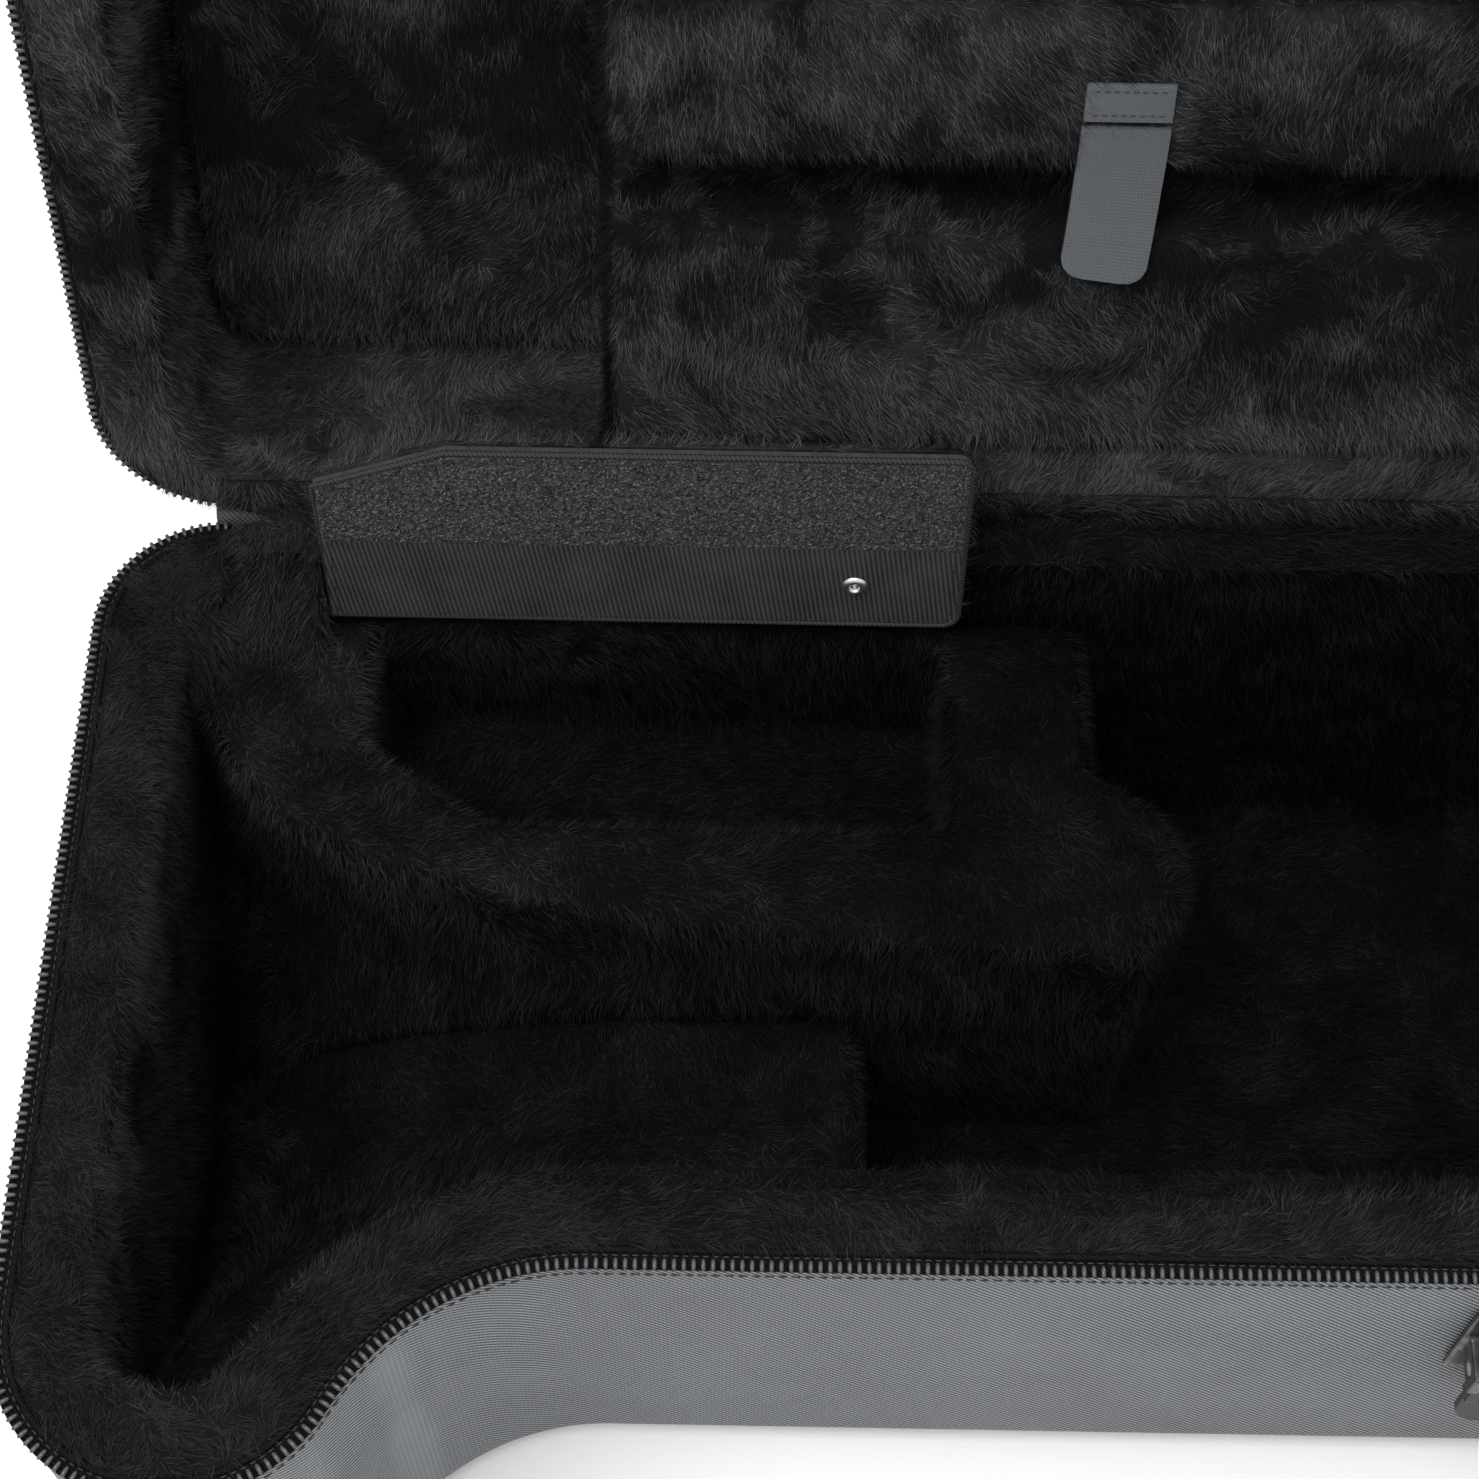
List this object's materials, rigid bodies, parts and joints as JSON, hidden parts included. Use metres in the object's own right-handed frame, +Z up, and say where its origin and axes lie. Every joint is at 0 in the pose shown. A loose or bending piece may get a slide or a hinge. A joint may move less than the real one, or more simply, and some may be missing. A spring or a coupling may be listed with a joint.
{
  "type": "trombone case",
  "caption": "Soft-sided foam case for a tenor trombone with a zipped hinged lid, plush inserts, an accessory compartment with a flap, and a carry handle.",
  "frame": {"origin": "on the flat underside of the base, midway along the case and midway across its wide bell end", "axes": "+X from the bell end to the far end, +Y to the hinge side, +Z up from the surface the open case lies on"},
  "size_m": [0.9326, 0.4641, 0.4629],
  "materials": {
    "foam": "matte",
    "nylon": "woven",
    "plush": "long pile",
    "tape": "woven tape",
    "coil": "satin",
    "piping": "bound edge",
    "board": "matte",
    "hook": "hook strip",
    "ribbed": "ribbed",
    "webbing": "webbing",
    "steel": "bright",
    "dark_metal": "black",
    "rubber": "matte"
  },
  "bodies": {
    "base": {"base_cover": "nylon", "base_foam_shell": "foam", "base_lining": "plush", "base_zip_tape": "tape", "base_zip_coil": "coil", "base_piping": "piping", "base_hinge_tape": "nylon", "hinge_fold": "nylon", "accessory_tray": "plush", "bell_cradle": "plush", "neck_rest": "plush", "bow_block": "plush", "flap_hinge_strip": "plush", "handle_plate_left": "dark_metal", "handle_plate_right": "dark_metal", "handle_pin_left": "steel", "handle_pin_right": "steel", "ring_tab_left": "webbing", "ring_tab_right": "webbing", "foot_1": "rubber", "foot_2": "rubber", "foot_3": "rubber", "foot_4": "rubber"},
    "lid": {"lid_cover": "nylon", "lid_foam_shell": "foam", "lid_lining": "plush", "lid_zip_tape": "tape", "lid_zip_coil": "coil", "lid_piping": "piping", "lid_hinge_tape": "nylon", "slide_block": "plush", "bell_pad": "plush", "strap_anchor_1": "webbing", "strap_anchor_2": "webbing", "pocket": "nylon", "pocket_zip_tape": "tape", "pocket_zip_coil": "coil"},
    "flap": {"flap_plush": "plush", "flap_board": "board", "flap_hook_strip": "hook", "flap_ribbed_face": "ribbed", "flap_rivet": "steel"},
    "slide_strap_near_bell": {"slide_strap_1": "webbing"},
    "slide_strap_far": {"slide_strap_2": "webbing"},
    "handle": {"handle_webbing": "webbing", "handle_wrap": "nylon"},
    "ring_left": {"strap_ring_left": "steel"},
    "ring_right": {"strap_ring_right": "steel"},
    "slider_rear": {"zip_slider_rear": "dark_metal"},
    "slider_front": {"zip_slider_front": "dark_metal"},
    "pull_rear": {"pull_of_zip_slider_rear": "dark_metal"},
    "pull_front": {"pull_of_zip_slider_front": "dark_metal"},
    "pocket_slider": {"pocket_slider": "dark_metal"},
    "pocket_pull": {"pull_of_pocket_slider": "dark_metal"}
  },
  "joints": [
    {"name": "lid_hinge", "type": "hinge", "parent": "base", "child": "lid", "pos_m": [0, 0.152, 0.17], "axis": [-1, 0, 0], "range_deg": [-104, 0]},
    {"name": "flap_hinge", "type": "hinge", "parent": "base", "child": "flap", "pos_m": [-0.2907, 0.1356, 0.146], "axis": [-1, 0, 0], "range_deg": [-98, 0]},
    {"name": "strap_hinge_near_bell", "type": "hinge", "parent": "lid", "child": "slide_strap_near_bell", "pos_m": [-0.15597, 0.20329, 0.29428], "axis": [-1, 0, 0], "range_deg": [0, 75]},
    {"name": "strap_hinge_far", "type": "hinge", "parent": "lid", "child": "slide_strap_far", "pos_m": [0.2002, 0.20329, 0.29428], "axis": [-1, 0, 0], "range_deg": [0, 75]},
    {"name": "handle_hinge", "type": "hinge", "parent": "base", "child": "handle", "pos_m": [0.015, -0.095, 0.122], "axis": [-1, 0, 0], "range_deg": [0, 150]},
    {"name": "ring_hinge_left", "type": "hinge", "parent": "base", "child": "ring_left", "pos_m": [-0.4615, 0.074, 0.11], "axis": [0, 1, 0], "range_deg": [0, 100]},
    {"name": "ring_hinge_right", "type": "hinge", "parent": "base", "child": "ring_right", "pos_m": [0.4615, 0.074, 0.11], "axis": [0, -1, 0], "range_deg": [0, 100]},
    {"name": "zip_slide_rear", "type": "slide", "parent": "base", "child": "slider_rear", "axis": [0, -1, 0], "range_m": [0, 0.017]},
    {"name": "zip_slide_front", "type": "slide", "parent": "base", "child": "slider_front", "axis": [0, -1, 0], "range_m": [0, 0.105]},
    {"name": "pull_hinge_rear", "type": "hinge", "parent": "slider_rear", "child": "pull_rear", "pos_m": [0.4617, 0.101, 0.17], "axis": [0, -1, 0], "range_deg": [0, 110]},
    {"name": "pull_hinge_front", "type": "hinge", "parent": "slider_front", "child": "pull_front", "pos_m": [0.4617, 0.071, 0.17], "axis": [0, -1, 0], "range_deg": [0, 110]},
    {"name": "pocket_zip_slide", "type": "slide", "parent": "lid", "child": "pocket_slider", "axis": [1, 0, 0], "range_m": [0, 0.325]},
    {"name": "pocket_pull_hinge", "type": "hinge", "parent": "pocket_slider", "child": "pocket_pull", "pos_m": [-0.164, 0.31121, 0.31375], "axis": [1, 0, 0], "range_deg": [-12, 100]}
  ],
  "couplings": [
    {"joint": "flap_hinge", "follows": "lid_hinge", "ratio": 0.94231}
  ]
}
